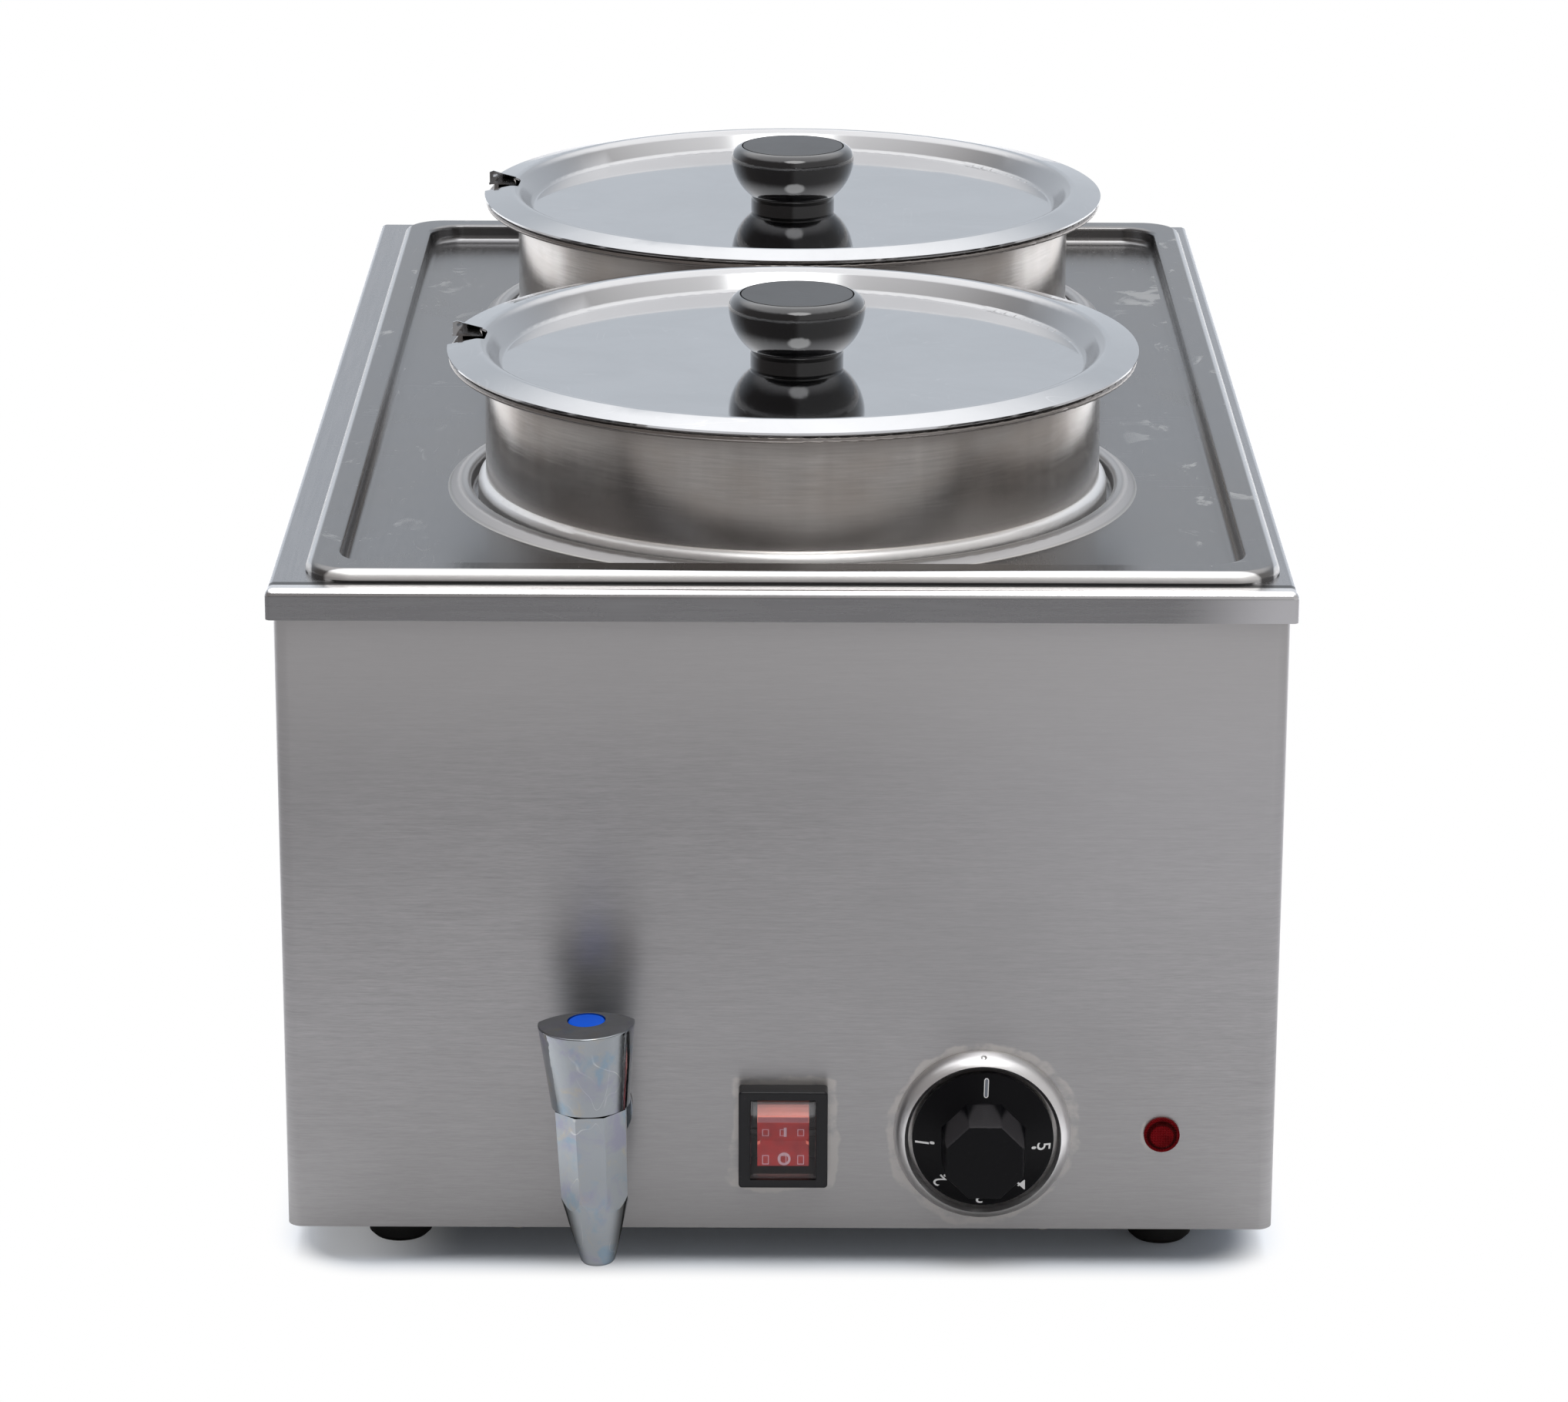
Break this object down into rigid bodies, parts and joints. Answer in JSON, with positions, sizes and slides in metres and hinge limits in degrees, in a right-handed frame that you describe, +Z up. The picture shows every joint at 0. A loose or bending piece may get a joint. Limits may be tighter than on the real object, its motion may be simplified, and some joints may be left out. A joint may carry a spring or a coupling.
{
  "type": "bain marie",
  "caption": "Table-top bain marie: a deep brushed steel water well with round lidded pots in a cover plate, and a front with a tap, rocker switch, thermostat dial and lamp.",
  "frame": {"origin": "on the surface the feet stand on, under the middle of the outline, tap and cable gland included", "axes": "+X to the right as seen from the front, +Y from the front to the rear, +Z up"},
  "size_m": [0.3414, 0.6193, 0.308],
  "materials": {
    "casing_steel": "stainless sheet with a fine horizontal brush grain",
    "well_steel": "stainless sheet, brushed, with handling marks",
    "plate_steel": "stainless sheet, fine satin, polished rim",
    "pot_steel": "stainless, turned and brushed round the wall",
    "lid_steel": "stainless, polished nearly to a mirror",
    "zinc_steel": "plain zinc-coated sheet",
    "screw_steel": "bright steel",
    "element_steel": "element sheath, dull and heat-tinted",
    "bezel_chrome": "bright pressed ring",
    "tap_chrome": "chromed casting with water spots",
    "drain_brass": "plain turned brass",
    "terminal_brass": "bright contact brass",
    "capillary_copper": "drawn copper",
    "foot_rubber": "matt black rubber",
    "wire_brown": "silicone-covered wire",
    "knob_bakelite": "polished black phenolic",
    "knob_disc_satin": "satin black inset",
    "switch_black": "moulded black plastic, half gloss",
    "dial_black": "moulded black plastic with white marks",
    "rocker_red": "clear red moulding, lit from behind",
    "lamp_red": "clear red moulding with a cut lens",
    "button_blue": "domed blue plastic",
    "thermostat_plastic": "heat-proof dark moulding",
    "terminal_white": "white terminal strip",
    "switch_clear": "clear soft hood over the rocker"
  },
  "bodies": {
    "heated_base": {"casing_wrap": "casing_steel", "rear_panel": "casing_steel", "base_plate": "zinc_steel", "base_screws": "screw_steel", "rear_screws": "screw_steel", "rubber_feet": "foot_rubber", "foot_screws": "screw_steel", "foot_nuts": "screw_steel", "well_tank": "well_steel", "tank_brackets": "zinc_steel", "knob_bezel": "bezel_chrome", "switch_housing": "switch_black", "switch_cover": "switch_clear", "switch_terminals": "terminal_brass", "lamp_lens": "lamp_red", "lamp_body": "switch_black", "lamp_clip": "screw_steel", "tap_body": "tap_chrome", "tap_gasket": "foot_rubber", "tap_locknut": "drain_brass", "drain_pipe": "zinc_steel", "drain_spud": "drain_brass", "drain_gasket": "foot_rubber", "drain_locknut": "drain_brass", "heating_element": "element_steel", "element_shield": "zinc_steel", "shield_studs": "screw_steel", "shield_nuts": "screw_steel", "thermal_cutout": "thermostat_plastic", "thermostat_body": "thermostat_plastic", "thermostat_screws": "screw_steel", "thermostat_bulb": "capillary_copper", "bulb_clip": "zinc_steel", "capillary_tube": "capillary_copper", "cable_gland": "switch_black", "gland_nut": "switch_black", "terminal_block": "terminal_white", "earth_stud": "terminal_brass", "earth_nut": "terminal_brass", "wires": "wire_brown"},
    "cover_plate": {"cover_plate": "plate_steel"},
    "pot_front": {"pot_front": "pot_steel"},
    "pot_rear": {"pot_rear": "pot_steel"},
    "lid_front": {"lid_front": "lid_steel", "lid_knob_front": "knob_bakelite", "knob_disc_front": "knob_disc_satin", "knob_spacer_front": "knob_bakelite", "knob_screw_front": "screw_steel"},
    "lid_rear": {"lid_rear": "lid_steel", "lid_knob_rear": "knob_bakelite", "knob_disc_rear": "knob_disc_satin", "knob_spacer_rear": "knob_bakelite", "knob_screw_rear": "screw_steel"},
    "thermostat_dial": {"thermostat_knob": "dial_black", "thermostat_shaft": "screw_steel"},
    "switch_rocker": {"switch_rocker": "rocker_red"},
    "tap_lever": {"tap_handle": "tap_chrome", "tap_button": "button_blue", "tap_spindle": "terminal_brass"}
  },
  "joints": [
    {"name": "cover_plate_lift", "type": "slide", "parent": "heated_base", "child": "cover_plate", "axis": [0, 0, 1], "range_m": [0, 0.15]},
    {"name": "pot_front_lift", "type": "slide", "parent": "cover_plate", "child": "pot_front", "axis": [0, 0, 1], "range_m": [0, 0.18]},
    {"name": "pot_rear_lift", "type": "slide", "parent": "cover_plate", "child": "pot_rear", "axis": [0, 0, 1], "range_m": [0, 0.18]},
    {"name": "lid_front_lift", "type": "slide", "parent": "pot_front", "child": "lid_front", "axis": [0, 0, 1], "range_m": [0, 0.12]},
    {"name": "lid_rear_lift", "type": "slide", "parent": "pot_rear", "child": "lid_rear", "axis": [0, 0, 1], "range_m": [0, 0.12]},
    {"name": "dial_turn", "type": "hinge", "parent": "heated_base", "child": "thermostat_dial", "pos_m": [0.0688, -0.25835, 0.05], "axis": [0, 1, 0], "range_deg": [0, 270]},
    {"name": "rocker_press", "type": "hinge", "parent": "heated_base", "child": "switch_rocker", "pos_m": [0.001, -0.25735, 0.05], "axis": [-1, 0, 0], "range_deg": [0, 20]},
    {"name": "tap_turn", "type": "hinge", "parent": "heated_base", "child": "tap_lever", "pos_m": [-0.0627, -0.29135, 0.0599], "axis": [-0.0384, 0, 0.9993], "range_deg": [0, 90]}
  ]
}
